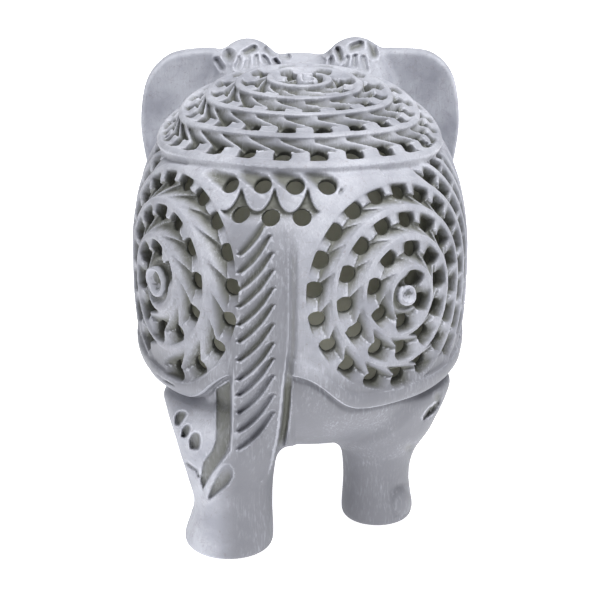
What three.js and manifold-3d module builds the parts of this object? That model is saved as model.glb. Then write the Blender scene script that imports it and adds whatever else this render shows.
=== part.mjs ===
// A small soapstone elephant, carved from one block, with its body hollowed out and pierced as openwork.
// Millimetres, +Z up. The elephant stands on Z = 0 and faces -Y, so +X is its left side.
import * as THREE from "three";
import { ConvexGeometry } from "three/addons/geometries/ConvexGeometry.js";
import { mergeVertices } from "three/addons/utils/BufferGeometryUtils.js";
import Module from "manifold-3d";

const wasm = await Module();
wasm.setup();

// Driving dimensions of the body, a fat rounded ball with a fuller lower half.
const BODY_CENTRE = new THREE.Vector3(0, 13.6, 52);
const BODY_X = 34;
const BODY_Y = 42;
const BODY_UP = 34.6;
const BODY_DOWN = 36.4;
const POWER_FLAT = 2.38; // of the level sections: 2 is an ellipse, more is squarer
const POWER_UP = 2.35; // of the upright sections, above and below the centre
const POWER_DOWN = 2.85;
const BODY_COLUMNS = 20;
const BODY_ROWS = 12;
const BELLY_STEP = 1.2; // the plain belly lies this far inside the openwork shell
const WALL = 3.2; // thickness of the openwork shell
const CAVITY_FLOOR_Z = 28;
const CAVITY_FRONT_Y = -13;

// The lattice: drilled holes along spiral lanes, each with a scoop cut back towards the lane's inner rib.
const HOLE_RADIUS = 1.75;
const ROSETTE_HOLE = 1.2;
const RIB_OFFSET = 2; // from a lane's line of holes out to the crest of its outer rib
const SCOOP_BACK = 4.2; // reach of a scoop, back along its lane
const SCOOP_SHORT = 0.6; // a scoop stops this far short of the inner rib's crest
const CLOTH_BAND = 1.5; // plain border of the saddle cloth, outside its lowest rib
const CLOTH_FRONT_Y = -5;
const SHOULDER_Y = -6; // the openwork ends here, behind the ears
const ROOM = 1.2; // least distance from a hole's centre to the edge of its field
const RIM_Z = 33; // lower edge of the rounded rim along the flanks
const RIM_RISE = 8.6; // the rim climbs by this to the tail
const RIM_SPAN = 18; // degrees from the tail to the swag under each haunch
const RIM_BAND = 3; // height of the plain rim under the openwork
const TAIL_AROUND = 8.5; // the tail lies this many degrees left of the middle

const degrees = THREE.MathUtils.degToRad;
const vec = (x, y, z) => new THREE.Vector3(x, y, z);

// The unit vector at an angle round from the tail, towards the left side, and a height angle.
function direction(aroundDeg, upDeg) {
  const around = degrees(aroundDeg);
  const up = degrees(upDeg);
  return vec(Math.sin(around) * Math.cos(up), Math.cos(around) * Math.cos(up), Math.sin(up));
}

// Three spirals: one over each haunch and flank, and one on the back for the saddle cloth.
// The first hole is start from the centre at the angle phase, pitch is the distance between lanes,
// step the distance between holes along a lane, and grow the sense in which the lane widens (+1 is
// counter-clockwise from outside). lanes and turn say which stretch of rib closes the field.
const SPIRALS = {
  saddle: {
    centre: direction(30.5, 94.4), up: vec(0, -1, 0), start: 3.5, pitch: 6.42, step: 7,
    phase: degrees(-72), grow: -1, lanes: 4, turn: degrees(-162),
  },
  left: {
    centre: direction(46.6, 4.1), up: vec(0, 0, 1), start: 5.6, pitch: 7.27, step: 6.6,
    phase: degrees(40), grow: 1, lanes: 2, turn: degrees(-220),
  },
  right: {
    centre: direction(-30.1, 5.1), up: vec(0, 0, 1), start: 3.7, pitch: 5.87, step: 6.2,
    phase: degrees(47), grow: -1, lanes: 3, turn: degrees(-338),
  },
};

// Two staggered rows of plain drilled holes between the saddle and the tail: x and z of each.
const PANEL_HOLES = [
  [13.4, 76.1], [7.2, 76.6], [0.9, 76.6], [-5.3, 76.5],
  [11.5, 71.8], [5.6, 71.7], [-0.4, 71.8],
];

// A direction's reach over the body's level section, as a share of that section's own size.
function levelShare(dir, inset) {
  const across = Math.abs(dir.x / (BODY_X - inset));
  const along = Math.abs(dir.y / (BODY_Y - inset));
  return (across ** POWER_FLAT + along ** POWER_FLAT) ** (1 / POWER_FLAT);
}

// The body's radius along a direction, with its own lower half.
function bulge(dir, inset) {
  const up = dir.z >= 0;
  const power = up ? POWER_UP : POWER_DOWN;
  const tall = (up ? BODY_UP : BODY_DOWN) - inset;
  return (levelShare(dir, inset) ** power + Math.abs(dir.z / tall) ** power) ** (-1 / power);
}

function bodyPoint(dir, level = 0) {
  return dir.clone().multiplyScalar(bulge(dir, 0) + level).add(BODY_CENTRE);
}

for (const spiral of Object.values(SPIRALS)) {
  spiral.up = spiral.up.clone().projectOnPlane(spiral.centre).normalize();
  spiral.across = spiral.up.clone().cross(spiral.centre);
  spiral.radius = bulge(spiral.centre, 0);
}

// The direction of the point r millimetres over the surface from the spiral's centre, at angle theta.
function spiralDirection(spiral, r, theta) {
  const lean = r / spiral.radius;
  return spiral.centre
    .clone()
    .multiplyScalar(Math.cos(lean))
    .addScaledVector(spiral.across, Math.sin(lean) * Math.cos(theta))
    .addScaledVector(spiral.up, Math.sin(lean) * Math.sin(theta));
}

// The place of a direction on a spiral: its distance over the surface from the centre, and its angle.
function spiralPlace(spiral, dir) {
  const r = spiral.radius * Math.acos(THREE.MathUtils.clamp(dir.dot(spiral.centre), -1, 1));
  return { r, theta: Math.atan2(dir.dot(spiral.up), dir.dot(spiral.across)) };
}

// How far inside the rib that closes a spiral's field a direction is.
function ribDepth(spiral, dir) {
  const { r, theta } = spiralPlace(spiral, dir);
  const full = 2 * Math.PI;
  const turned = THREE.MathUtils.euclideanModulo(spiral.grow * (theta - spiral.phase) - spiral.turn, full);
  return spiral.start + RIB_OFFSET + spiral.pitch * ((turned + spiral.turn) / full + spiral.lanes) - r;
}

// Lower edge of the rounded rim: it hangs in a swag under each haunch and runs lower along the flanks.
function rimFoot(dir) {
  const off = (Math.atan2(dir.x, dir.y) - degrees(TAIL_AROUND)) / degrees(RIM_SPAN);
  return RIM_Z + RIM_RISE * Math.exp(-(off ** 4));
}

// Whether a hole at this direction has room in its own field of openwork.
function inField(name, dir) {
  const point = bodyPoint(dir);
  const cloth = ribDepth(SPIRALS.saddle, dir);
  if (name === "saddle") return cloth > ROOM && point.y > CLOTH_FRONT_Y;
  if (point.y < SHOULDER_Y + ROOM || -cloth - CLOTH_BAND < ROOM) return false;
  if (point.z - rimFoot(dir) - RIM_BAND < ROOM) return false;
  const spiral = SPIRALS[name];
  const flank = Math.abs(Math.atan2(dir.x, dir.y)) > Math.abs(Math.atan2(spiral.centre.x, spiral.centre.y));
  return dir.x * spiral.centre.x > -0.1 && (flank || ribDepth(spiral, dir) > ROOM);
}

// The cells of one spiral: the radius and angle of each drilled hole, outwards from the rosette.
function spiralCells(name) {
  const spiral = SPIRALS[name];
  const growth = spiral.pitch / (2 * Math.PI);
  const cells = [];
  for (let k = 0; ; k += 1) {
    const run = k * spiral.step;
    const total = (Math.sqrt(spiral.start ** 2 + 2 * growth * run) - spiral.start) / growth;
    const r = spiral.start + growth * total;
    if (r / spiral.radius > 1.9) return cells;
    const theta = spiral.phase + spiral.grow * total;
    if (inField(name, spiralDirection(spiral, r, theta))) cells.push({ spiral, r, theta });
  }
}

// A closed geometry as a manifold solid.
function solid(geometry) {
  const bare = geometry.clone();
  for (const name of Object.keys(bare.attributes)) if (name !== "position") bare.deleteAttribute(name);
  const merged = mergeVertices(bare, 1e-4);
  return new wasm.Manifold(
    new wasm.Mesh({
      numProp: 3,
      vertProperties: new Float32Array(merged.attributes.position.array),
      triVerts: new Uint32Array(merged.index.array),
    }),
  );
}

// A sphere's points pushed out to the radius that a function gives for each direction.
function ball(centre, columns, rows, radiusAt) {
  const geometry = new THREE.SphereGeometry(1, columns, rows).rotateX(Math.PI / 2);
  const position = geometry.attributes.position;
  const dir = vec();
  for (let i = 0; i < position.count; i += 1) {
    dir.fromBufferAttribute(position, i).normalize();
    const out = dir.clone().multiplyScalar(radiusAt(dir)).add(centre);
    position.setXYZ(i, out.x, out.y, out.z);
  }
  return solid(geometry);
}

// A rounded lump with half sizes along x, y and z.
function lump(centre, half, power, columns, rows) {
  return ball(centre, columns, rows, (dir) => {
    const parts = [dir.x / half.x, dir.y / half.y, dir.z / half.z];
    return parts.reduce((sum, part) => sum + Math.abs(part) ** power, 0) ** (-1 / power);
  });
}

// A closed skin over rings of points that all have the same number of points.
function loft(rings) {
  const sides = rings[0].length;
  const points = rings.flat();
  const mean = (ring) => ring.reduce((sum, p) => sum.add(p), vec(0, 0, 0)).divideScalar(sides);
  points.push(mean(rings[0]), mean(rings.at(-1)));
  const index = [];
  for (let i = 0; i < sides; i += 1) {
    const j = (i + 1) % sides;
    for (let k = 0; k + 1 < rings.length; k += 1) {
      const a = k * sides;
      const b = a + sides;
      index.push(a + i, a + j, b + i, a + j, b + j, b + i);
    }
    const last = (rings.length - 1) * sides;
    index.push(points.length - 2, j, i, points.length - 1, last + i, last + j);
  }
  const geometry = new THREE.BufferGeometry().setFromPoints(points);
  geometry.setIndex(index);
  const made = solid(geometry);
  if (made.volume() > 0) return made;
  for (let i = 0; i < index.length; i += 3) [index[i], index[i + 1]] = [index[i + 1], index[i]];
  geometry.setIndex(index);
  return solid(geometry);
}

// A round limb through stations [x, y, z, radius], with its ends rounded off.
function limb(stations, sides, steps, flat = 1) {
  const curve = new THREE.CatmullRomCurve3(stations.map(([x, y, z]) => vec(x, y, z)));
  const radii = stations.map((s) => s[3]);
  const rings = [];
  for (let k = 0; k <= steps; k += 1) {
    const t = k / steps;
    const spot = t * (radii.length - 1);
    const low = Math.min(Math.floor(spot), radii.length - 2);
    const radius = THREE.MathUtils.lerp(radii[low], radii[low + 1], spot - low);
    const at = curve.getPoint(t);
    const along = curve.getTangent(t);
    const side = vec(1, 0, 0).projectOnPlane(along).normalize();
    const front = along.clone().cross(side);
    rings.push(
      Array.from({ length: sides }, (_, i) => {
        const turn = (2 * Math.PI * (i + 0.5)) / sides;
        return at
          .clone()
          .addScaledVector(side, radius * Math.cos(turn))
          .addScaledVector(front, radius * flat * Math.sin(turn));
      }),
    );
  }
  return loft(rings);
}

// A leg through stations [x, y, z, radius], with a flat sole on Z = 0.
function leg(stations) {
  const sides = 10;
  return loft(
    stations.map(([x, y, z, r]) =>
      Array.from({ length: sides }, (_, i) => {
        const turn = (2 * Math.PI * (i + 0.5)) / sides;
        return vec(x + r * Math.cos(turn), y + r * Math.sin(turn), z);
      }),
    ),
  );
}

// Outline of the left ear seen from behind, as x and z, and its sweep back from the head.
const EAR_OUTLINE = [
  [12, 76], [17, 81.2], [23, 81.9], [28.8, 81], [33, 76.5], [34.6, 68], [33.8, 60],
  [32, 52.5], [28.5, 46], [24.5, 44.5], [20, 50], [12, 58],
];
const EAR_ROOT_Y = -27;
const EAR_THICK = 3;

function ear(side) {
  const outline = new THREE.Shape(EAR_OUTLINE.map(([x, z]) => new THREE.Vector2(x, z)));
  const geometry = new THREE.ExtrudeGeometry(outline, { depth: EAR_THICK, bevelEnabled: false, steps: 1 });
  const position = geometry.attributes.position;
  for (let i = 0; i < position.count; i += 1) {
    const x = position.getX(i);
    const sweep = 0.014 * (x - 12) ** 2;
    position.setXYZ(i, side * x, EAR_ROOT_Y + sweep - position.getZ(i), position.getY(i));
  }
  const index = Array.from({ length: position.count }, (_, i) => i);
  geometry.setIndex(index);
  const made = solid(geometry);
  if (made.volume() > 0) return made;
  for (let i = 0; i < index.length; i += 3) [index[i], index[i + 1]] = [index[i + 1], index[i]];
  geometry.setIndex(index);
  return solid(geometry);
}

// Everything before the hollowing and piercing, joined into one block.
function carvedBlock() {
  const skin = (dir) => bulge(dir, 0) - (bodyPoint(dir).z < rimFoot(dir) ? BELLY_STEP : 0);
  let block = ball(BODY_CENTRE, BODY_COLUMNS, BODY_ROWS, skin);
  const forms = [
    leg([
      [14.1, 43.6, 0, 8.6], [14.1, 43.6, 2.5, 8.9], [13.3, 43.6, 9, 7.9], [13.8, 43, 15, 8.7],
      [14.3, 42, 22, 10.3], [14.3, 38.5, 32, 12], [13, 33, 44, 12],
    ]),
    leg([
      [-15.7, 30.7, 0, 7.1], [-15.7, 30.7, 2.5, 7.3], [-15.5, 30.7, 9, 6.8], [-15.8, 31, 15, 7.6],
      [-17, 32, 22, 10.2], [-17, 32, 32, 12.6], [-15, 30, 44, 12],
    ]),
    leg([
      [14.5, -19.5, 0, 7.7], [14.5, -19.5, 2.5, 8], [14.5, -19, 10, 7.4], [14, -17, 18, 8.6],
      [13.5, -12, 30, 12], [13, -8, 44, 14],
    ]),
    leg([
      [-14.5, -9, 0, 7.7], [-14.5, -9, 2.5, 8], [-14.5, -9, 10, 7.4], [-14.5, -8.5, 18, 8.8],
      [-14, -7, 30, 12], [-13, -5, 44, 14],
    ]),
    lump(vec(0, -31, 58), vec(19, 17, 21), 2.2, 14, 10),
    lump(vec(11, -29, 71), vec(8.5, 11, 12.3), 2, 10, 7),
    lump(vec(-12, -29, 71), vec(9, 11, 12.6), 2, 10, 7),
    ear(1),
    ear(-1),
    limb(
      [
        [0, -37, 58, 11], [0, -45, 48, 9.2], [0, -48.5, 36, 7.2], [0, -47.5, 24, 5.9],
        [0, -45, 14, 5], [0, -47, 7.5, 4.4], [0, -51.5, 6.5, 3.9], [0, -52.3, 10, 3.2],
      ],
      8,
      12,
    ),
    limb([[7.5, -40, 49, 3], [9, -47, 44, 2.5], [9.6, -53, 42, 1]], 6, 3),
    limb([[-7.5, -40, 49, 3], [-9, -47, 44, 2.5], [-9.6, -53, 42, 1]], 6, 3),
    limb([[0, -36, 48, 7], [0, -41, 42, 4.5], [0, -42.5, 39, 2]], 8, 3),
    limb(
      [
        [6.5, 49, 69, 3.4], [7.6, 52.4, 58, 5], [8.1, 53.4, 46, 5.4], [8.6, 51.6, 34, 5.3],
        [9.6, 50.4, 24, 5], [12.5, 50.2, 16, 3.6], [16, 49.6, 11, 1.6],
      ],
      8,
      10,
      0.5,
    ),
  ];
  for (const form of forms) block = block.add(form);
  return block;
}

// The hollow inside the openwork shell, with a flat floor over the legs and a flat front at the neck.
function cavity() {
  const hollow = ball(BODY_CENTRE, 12, 8, (dir) => bulge(dir, WALL));
  const far = 200;
  const floor = solid(new THREE.BoxGeometry(far, far, far).translate(0, 0, CAVITY_FLOOR_Z - far / 2));
  const front = solid(new THREE.BoxGeometry(far, far, far).translate(0, CAVITY_FRONT_Y - far / 2, 0));
  return hollow.subtract(floor).subtract(front);
}

// Cutters start this far above the skin, and go this far below it to come out inside.
const ABOVE = 0.8;
const THROUGH = WALL + 1.2;

// One cell's cutter: a hole through the wall that widens into a scoop with its tip at the lane's inner rib.
function cellCutter({ spiral, r, theta }) {
  const spot = (back, inward, level) => {
    const radius = r - inward;
    const angle = theta + (spiral.grow * back) / Math.max(radius, HOLE_RADIUS);
    return bodyPoint(spiralDirection(spiral, radius, angle), level);
  };
  const across = Math.min(spiral.pitch - RIB_OFFSET - SCOOP_SHORT, r - ROSETTE_HOLE);
  const points = [spot(SCOOP_BACK, across, ABOVE), spot(0.2 * SCOOP_BACK, 0.7 * across, ABOVE)];
  for (const turn of [-60, 40, 150]) {
    points.push(spot(HOLE_RADIUS * Math.cos(degrees(turn)), HOLE_RADIUS * Math.sin(degrees(turn)), ABOVE));
  }
  for (const turn of [-90, 30, 150]) {
    points.push(spot(HOLE_RADIUS * Math.cos(degrees(turn)), HOLE_RADIUS * Math.sin(degrees(turn)), -THROUGH));
  }
  return solid(new ConvexGeometry(points));
}

// A plain round hole along a direction from the body's centre.
function drill(dir, radius, depth) {
  const length = depth + ABOVE;
  const at = bodyPoint(dir, ABOVE - length / 2);
  const geometry = new THREE.CylinderGeometry(radius, radius, length, 7);
  geometry.applyQuaternion(new THREE.Quaternion().setFromUnitVectors(vec(0, 1, 0), dir));
  geometry.translate(at.x, at.y, at.z);
  return solid(geometry);
}

// The direction of the skin's point at x and z on the rear.
function panelDirection([x, z]) {
  const share = (1 - Math.abs((z - BODY_CENTRE.z) / BODY_UP) ** POWER_UP) ** (1 / POWER_UP);
  const y = BODY_Y * (share ** POWER_FLAT - Math.abs(x / BODY_X) ** POWER_FLAT) ** (1 / POWER_FLAT);
  return vec(x, y, z - BODY_CENTRE.z).normalize();
}

// The block hollowed out and pierced with every cell, rosette and panel hole.
function pierced(block) {
  let stone = block.subtract(cavity());
  for (const name of Object.keys(SPIRALS)) {
    for (const cell of spiralCells(name)) stone = stone.subtract(cellCutter(cell));
    stone = stone.subtract(drill(SPIRALS[name].centre, ROSETTE_HOLE, WALL / 2));
  }
  for (const hole of PANEL_HOLES) stone = stone.subtract(drill(panelDirection(hole), HOLE_RADIUS, THROUGH));
  return stone;
}

// A solid as a named mesh.
function toMesh(made, name, material) {
  const mesh = made.getMesh();
  const geometry = new THREE.BufferGeometry()
    .setAttribute("position", new THREE.BufferAttribute(new Float32Array(mesh.vertProperties), 3))
    .setIndex(new THREE.BufferAttribute(new Uint32Array(mesh.triVerts), 1));
  geometry.computeVertexNormals();
  const result = new THREE.Mesh(geometry, material);
  result.name = name;
  return result;
}

const soapstone = new THREE.MeshStandardMaterial({ color: 0xbfc1c4, roughness: 0.62, metalness: 0 });

const group = new THREE.Group();
group.add(toMesh(pierced(carvedBlock()), "elephant", soapstone));

export default group;
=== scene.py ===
"""A soapstone elephant whose hollow body is pierced as openwork, seen from behind on a pale floor."""

import logging
import math
from collections.abc import Callable
from dataclasses import dataclass, field
from enum import Enum

import bpy
import numpy as np
import openvdb as vdb
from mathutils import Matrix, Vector


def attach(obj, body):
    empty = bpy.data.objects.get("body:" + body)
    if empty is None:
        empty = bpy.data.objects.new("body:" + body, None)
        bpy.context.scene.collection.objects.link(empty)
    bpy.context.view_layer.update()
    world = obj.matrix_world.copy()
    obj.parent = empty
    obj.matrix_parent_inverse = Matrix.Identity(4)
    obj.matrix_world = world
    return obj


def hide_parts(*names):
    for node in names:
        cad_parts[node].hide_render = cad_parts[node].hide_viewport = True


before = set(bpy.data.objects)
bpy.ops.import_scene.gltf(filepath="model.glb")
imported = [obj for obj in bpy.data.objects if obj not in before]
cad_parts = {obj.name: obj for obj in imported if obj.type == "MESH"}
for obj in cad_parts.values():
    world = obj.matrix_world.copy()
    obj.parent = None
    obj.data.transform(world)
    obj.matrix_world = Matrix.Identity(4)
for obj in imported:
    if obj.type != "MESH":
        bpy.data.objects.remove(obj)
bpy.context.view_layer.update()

log = logging.getLogger("elephant")

MM = 0.001
FAR = 6.0  # distances are kept to this, in millimetres
STEP = 0.3  # spacing of the sample points, in millimetres
MOST_TRIANGLES = 196_000
PICTURE = 600
SENSOR = 36.0

Array = np.ndarray
Point = tuple[float, float, float]
Coords = tuple[Array, Array, Array]
Distance = Callable[[Array, Array, Array], Array]
Tree = bpy.types.NodeTree
Socket = bpy.types.NodeSocket


def smoothstep(low: float, high: float, value: Array) -> Array:
    """0 below low, 1 above high and an S curve between."""
    t = np.clip((value - low) / (high - low), 0.0, 1.0)
    return t * t * (3.0 - 2.0 * t)


def soft_min(a: Array, b: Array, blend: float) -> Array:
    """The smaller of two distances, with a fillet about blend millimetres wide."""
    if blend <= 0:
        return np.minimum(a, b)
    h = np.maximum(blend - np.abs(a - b), 0.0) / blend
    return np.minimum(a, b) - h * h * (blend * 0.25)


def soft_max(a: Array, b: Array, blend: float) -> Array:
    """The larger of two distances, with a rounded corner."""
    return -soft_min(-a, -b, blend)


def bell(value: Array, width: float) -> Array:
    """1 where value is 0, falling off evenly on both sides over about width."""
    return np.exp(-((value / width) ** 2))


def oval(u: Array, v: Array, place: tuple[float, float, float, float]) -> Array:
    """0 in the middle of an oval and 1 at its edge. place is its middle and its half sizes."""
    middle_u, middle_v, half_u, half_v = place
    return ((u - middle_u) / half_u) ** 2 + ((v - middle_v) / half_v) ** 2


def direction(around_deg: float, up_deg: float) -> Array:
    """The unit vector at an angle round from the tail, towards the left side, and a height angle."""
    around, up = math.radians(around_deg), math.radians(up_deg)
    return np.array([math.sin(around) * math.cos(up), math.cos(around) * math.cos(up), math.sin(up)])


def unit(vector: Array) -> Array:
    """The vector at length 1."""
    return vector / np.linalg.norm(vector)


@dataclass(frozen=True)
class View:
    """The camera of the photograph, behind the elephant. Its picture is PICTURE pixels square."""

    target: Point = (0.0, 13.6, 42.0)
    distance: float = 500.0
    elevation: float = 22.0
    lens: float = 145.8
    shift_y: float = -0.015

    def away(self) -> Array:
        """The unit vector from the target to the camera."""
        up = math.radians(self.elevation)
        return np.array([0.0, math.cos(up), math.sin(up)])

    def pixels(self, points: Array) -> tuple[Array, Array]:
        """Where points in millimetres fall in the picture."""
        away = self.away()
        upward = np.array([0.0, -away[2], away[1]])
        seen = points - np.array(self.target)
        scale = PICTURE * self.lens / SENSOR / (self.distance - seen @ away)
        half = PICTURE / 2
        return half - seen[:, 0] * scale, half + self.shift_y * PICTURE - (seen @ upward) * scale

    def place(self) -> None:
        """Puts the camera behind the elephant."""
        data = bpy.data.cameras.new("camera")
        data.lens = self.lens
        data.sensor_width = SENSOR
        data.shift_y = self.shift_y
        camera = bpy.data.objects.new("camera", data)
        away = Vector(self.away())
        camera.location = (Vector(self.target) + away * self.distance) * MM
        camera.rotation_euler = away.to_track_quat("Z", "Y").to_euler()
        bpy.context.scene.collection.objects.link(camera)
        bpy.context.scene.camera = camera


VIEW = View()


@dataclass(frozen=True)
class Ball:
    """A squarish egg: half sizes across, along, up and down, and the powers of its sections."""

    centre: Point
    half_x: float
    half_y: float
    half_up: float
    half_down: float
    power_flat: float = 2.0
    power_up: float = 2.0
    power_down: float = 2.0

    def distance(self, x: Array, y: Array, z: Array) -> Array:
        """Signed distance in millimetres, exact at the surface and close to it near by."""
        cx, cy, cz = self.centre
        p = self.power_flat
        ax, ay = np.abs(x - cx) / self.half_x, np.abs(y - cy) / self.half_y
        flat = np.maximum((ax**p + ay**p) ** (1 / p), 1e-4)
        slope = np.sqrt((ax ** (p - 1) / self.half_x) ** 2 + (ay ** (p - 1) / self.half_y) ** 2)
        slope = slope * flat ** (1 - p)
        z_flat = z.reshape(-1)
        parts = []
        for lower in (True, False):
            rows = z_flat < cz if lower else z_flat >= cz
            if not rows.any():
                continue
            q = self.power_down if lower else self.power_up
            tall = self.half_down if lower else self.half_up
            az = np.abs(z_flat[rows] - cz)[None, None, :] / tall
            total = np.maximum((flat**q + az**q) ** (1 / q), 1e-3)
            steep = np.sqrt((flat ** (q - 1) * slope) ** 2 + (az ** (q - 1) / tall) ** 2) * total ** (1 - q)
            parts.append((total - 1.0) / np.maximum(steep, 1e-4))
        return np.concatenate(parts, axis=2)

    def radius(self, d: Array) -> float:
        """How far the surface is from the centre along a unit vector."""
        p = self.power_flat
        q, tall = (self.power_up, self.half_up) if d[2] >= 0 else (self.power_down, self.half_down)
        flat = (abs(d[0] / self.half_x) ** p + abs(d[1] / self.half_y) ** p) ** (1 / p)
        return (flat**q + abs(d[2] / tall) ** q) ** (-1 / q)

    def surface(self, d: Array) -> Array:
        """The surface point along a unit vector from the centre."""
        return np.array(self.centre) + d * self.radius(d)


BODY = Ball((0.0, 13.6, 52.0), 34.0, 42.0, 34.6, 36.4, 2.38, 2.35, 2.85)
SHELL = 3.0  # thickness of the openwork
CAVITY_FLOOR_Z = 28.5
CAVITY_FRONT_Y = -12.5
BELLY_STEP = 1.1
HOLE_RADIUS = 1.75
RIB_HALF = 0.42  # half the width of a rib's crest
RIB_OFFSET = HOLE_RADIUS + 0.25  # from a lane's line of holes out to the crest of its outer rib
SADDLE_BAND = 0.8  # from the crest of the lowest lane's outer rib to the edge of the cloth
SADDLE_FRONT_Y = -12.0
SHOULDER_Y = -8.0
ROOM = 1.2  # least distance from a hole's centre to the edge of its field
MOST_CELLS = 150  # laid out for each spiral, before those outside its field are left out
WIDEST = 1.9  # how far round the body a spiral may reach, in radians from its rosette
TAIL_AROUND = 0.185  # where the tail lies round the body, in radians
RIM_LOW_Z = 33.0  # lower edge of the rounded rim at the flanks
COARSE_DEPTH = 1.2  # skin deeper than this inside the stone keeps fewer triangles
COARSE_FRONT_Y = -6  # and so does the skin in front of this
COARSE_LOSS = 0.82  # the share of triangles that such skin loses


@dataclass
class Spiral:
    """One spiral of lanes. Its first hole is start from the centre, and it widens by pitch a turn."""

    centre: Array
    upward: Point
    start: float
    pitch: float
    step: float
    phase: float
    grow: int
    lanes: int
    first_turn: float
    ramp: float = 4.8
    rib_half: float = RIB_HALF
    trail: float = 0.7
    slant: float = 1.1
    lead: float = 0.95
    knee: float = 0.7
    axis_u: Array = field(init=False)
    axis_a: Array = field(init=False)
    radius: float = field(init=False)

    def __post_init__(self) -> None:
        upward = np.array(self.upward, dtype=float)
        self.axis_u = unit(upward - self.centre * (upward @ self.centre))
        self.axis_a = np.cross(self.axis_u, self.centre)
        self.radius = BODY.radius(self.centre)

    def towards(self, r: float, theta: float) -> Array:
        """The direction r millimetres over the surface from the rosette, at angle theta."""
        lean = r / self.radius
        side = math.cos(theta) * self.axis_a + math.sin(theta) * self.axis_u
        return self.centre * math.cos(lean) + side * math.sin(lean)

    def polar(self, d: Array) -> tuple[Array, Array]:
        """The radius and angle of unit vectors, given as rows."""
        r = self.radius * np.arccos(np.clip(d @ self.centre, -1.0, 1.0))
        return r, np.arctan2(d @ self.axis_u, d @ self.axis_a)

    def outer_rib(self, theta: Array) -> Array:
        """Radius of the rib that closes the spiral, counted from the angle first_turn."""
        turned = self.grow * (theta - math.radians(self.phase)) / (2 * math.pi)
        begin = self.first_turn / 360
        return self.start + RIB_OFFSET + self.pitch * ((turned - begin) % 1.0 + begin + self.lanes)

    def rib_gap(self, r: Array, theta: Array) -> Array:
        """Distance over the surface to the nearest rib's crest."""
        turned = theta - math.radians(self.phase)
        crest = self.start + RIB_OFFSET + self.pitch * self.grow * turned / (2 * math.pi)
        turns = (r - crest) / self.pitch
        return np.abs(turns - np.round(turns)) * self.pitch


class Side(Enum):
    """The three fields of openwork."""

    SADDLE = "saddle"
    LEFT = "left"
    RIGHT = "right"


SPIRALS = {
    Side.SADDLE: Spiral(
        centre=direction(30.5, 94.4), upward=(0, -1, 0), start=3.5, pitch=6.2, step=7.0, phase=-72, grow=-1,
        lanes=4, first_turn=-162, ramp=2.9, rib_half=0.62, trail=0, slant=2.2, lead=1.7, knee=1,
    ),
    Side.LEFT: Spiral(
        centre=direction(46.6, 4.1), upward=(0, 0, 1), start=5.6, pitch=7.27, step=6.6, phase=40, grow=1,
        lanes=2, first_turn=-220,
    ),
    Side.RIGHT: Spiral(
        centre=direction(-30.1, 5.1), upward=(0, 0, 1), start=3.7, pitch=5.87, step=6.2, phase=47, grow=-1,
        lanes=3, first_turn=-338,
    ),
}

RIM_BAND = 3.0  # height of the rounded rim under the openwork


def rim_foot(around: Array) -> Array:
    """Height of the rounded rim's lower edge: it rises to the tail between the haunches."""
    off = np.abs(around - math.radians(8.5)) / math.radians(18)
    return RIM_LOW_Z + 8.6 * np.exp(-(off**4))


def cloth_depth(d: Array) -> Array:
    """How far inside the edge of the saddle cloth unit vectors point, in millimetres."""
    r, theta = SPIRALS[Side.SADDLE].polar(d)
    return SPIRALS[Side.SADDLE].outer_rib(theta) + SADDLE_BAND - r


def zone_depth(side: Side, d: Array, points: Array) -> Array:
    """How far inside its field of openwork each surface point is, in millimetres."""
    cloth = cloth_depth(d)
    if side is Side.SADDLE:
        return np.minimum(cloth - SADDLE_BAND, points[:, 1] - SADDLE_FRONT_Y + HOLE_RADIUS)
    spiral = SPIRALS[side]
    around = np.arctan2(d[:, 0], d[:, 1])
    depth = np.minimum(points[:, 1] - SHOULDER_Y, -cloth)
    depth = np.minimum(depth, points[:, 2] - rim_foot(around) - RIM_BAND)
    own = np.sign(spiral.centre[0])
    rear = np.abs(around) < abs(math.atan2(spiral.centre[0], spiral.centre[1]))
    r, theta = spiral.polar(d)
    edge = np.where(rear | (d[:, 0] * own < 0), spiral.outer_rib(theta) - RIB_HALF - r, FAR * 2)
    return np.minimum(depth, edge)


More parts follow.
